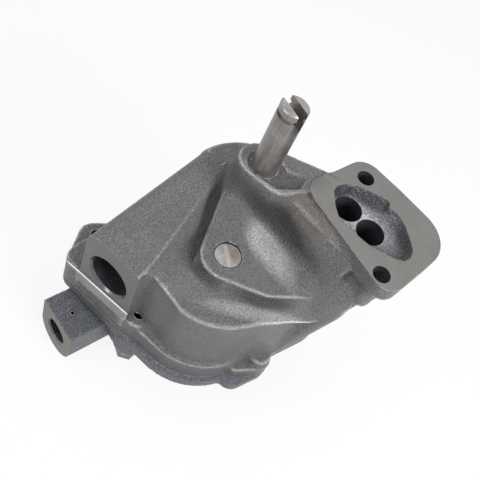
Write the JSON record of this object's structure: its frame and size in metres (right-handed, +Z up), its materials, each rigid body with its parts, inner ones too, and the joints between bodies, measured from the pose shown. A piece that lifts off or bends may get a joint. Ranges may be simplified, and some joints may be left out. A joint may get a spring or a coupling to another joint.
{
  "type": "engine oil pump",
  "caption": "Gear-type engine oil pump: cast iron housing with a two-bolt outlet flange, slotted drive shaft, pickup bore and a relief valve boss on the bottom cover.",
  "frame": {"origin": "where the drive shaft's axis crosses the plane of the mounting face", "axes": "+Z up the drive shaft to its slotted end, -X out of the pickup bore"},
  "size_m": [0.1251, 0.1404, 0.1738],
  "materials": {
    "casting": "sand cast, machined faces",
    "shaft_steel": "ground",
    "gear_steel": "hobbed",
    "valve_steel": "ground",
    "spring_steel": "drawn wire",
    "fastener": "dark phosphate"
  },
  "bodies": {
    "housing": {"pump_body": "casting", "pump_cover": "casting", "idler_shaft": "shaft_steel", "relief_spring": "spring_steel", "spring_cap": "valve_steel", "roll_pin": "spring_steel", "cover_bolt_1": "fastener", "cover_bolt_2": "fastener", "cover_bolt_3": "fastener", "cover_bolt_4": "fastener", "cover_bolt_5": "fastener", "lock_washer_1": "fastener", "lock_washer_2": "fastener", "lock_washer_3": "fastener", "lock_washer_4": "fastener", "lock_washer_5": "fastener"},
    "drive": {"drive_shaft": "shaft_steel", "drive_gear": "gear_steel"},
    "idler": {"idler_gear": "gear_steel"},
    "valve": {"relief_valve": "valve_steel"}
  },
  "joints": [
    {"name": "drive_spin", "type": "hinge", "parent": "housing", "child": "drive", "pos_m": [0, 0, 0], "axis": [0, 0, 1], "continuous": true},
    {"name": "idler_spin", "type": "hinge", "parent": "housing", "child": "idler", "pos_m": [-0.02777, -0.01356, -0.0745], "axis": [0, 0, 1], "continuous": true},
    {"name": "valve_slide", "type": "slide", "parent": "housing", "child": "valve", "axis": [-0.9763, 0.2164, 0], "range_m": [0, 0.01], "stiffness_N_per_m": 1500, "springref_m": -0.01, "deforming": ["relief_spring"]}
  ],
  "couplings": [
    {"joint": "idler_spin", "follows": "drive_spin", "ratio": -1}
  ]
}
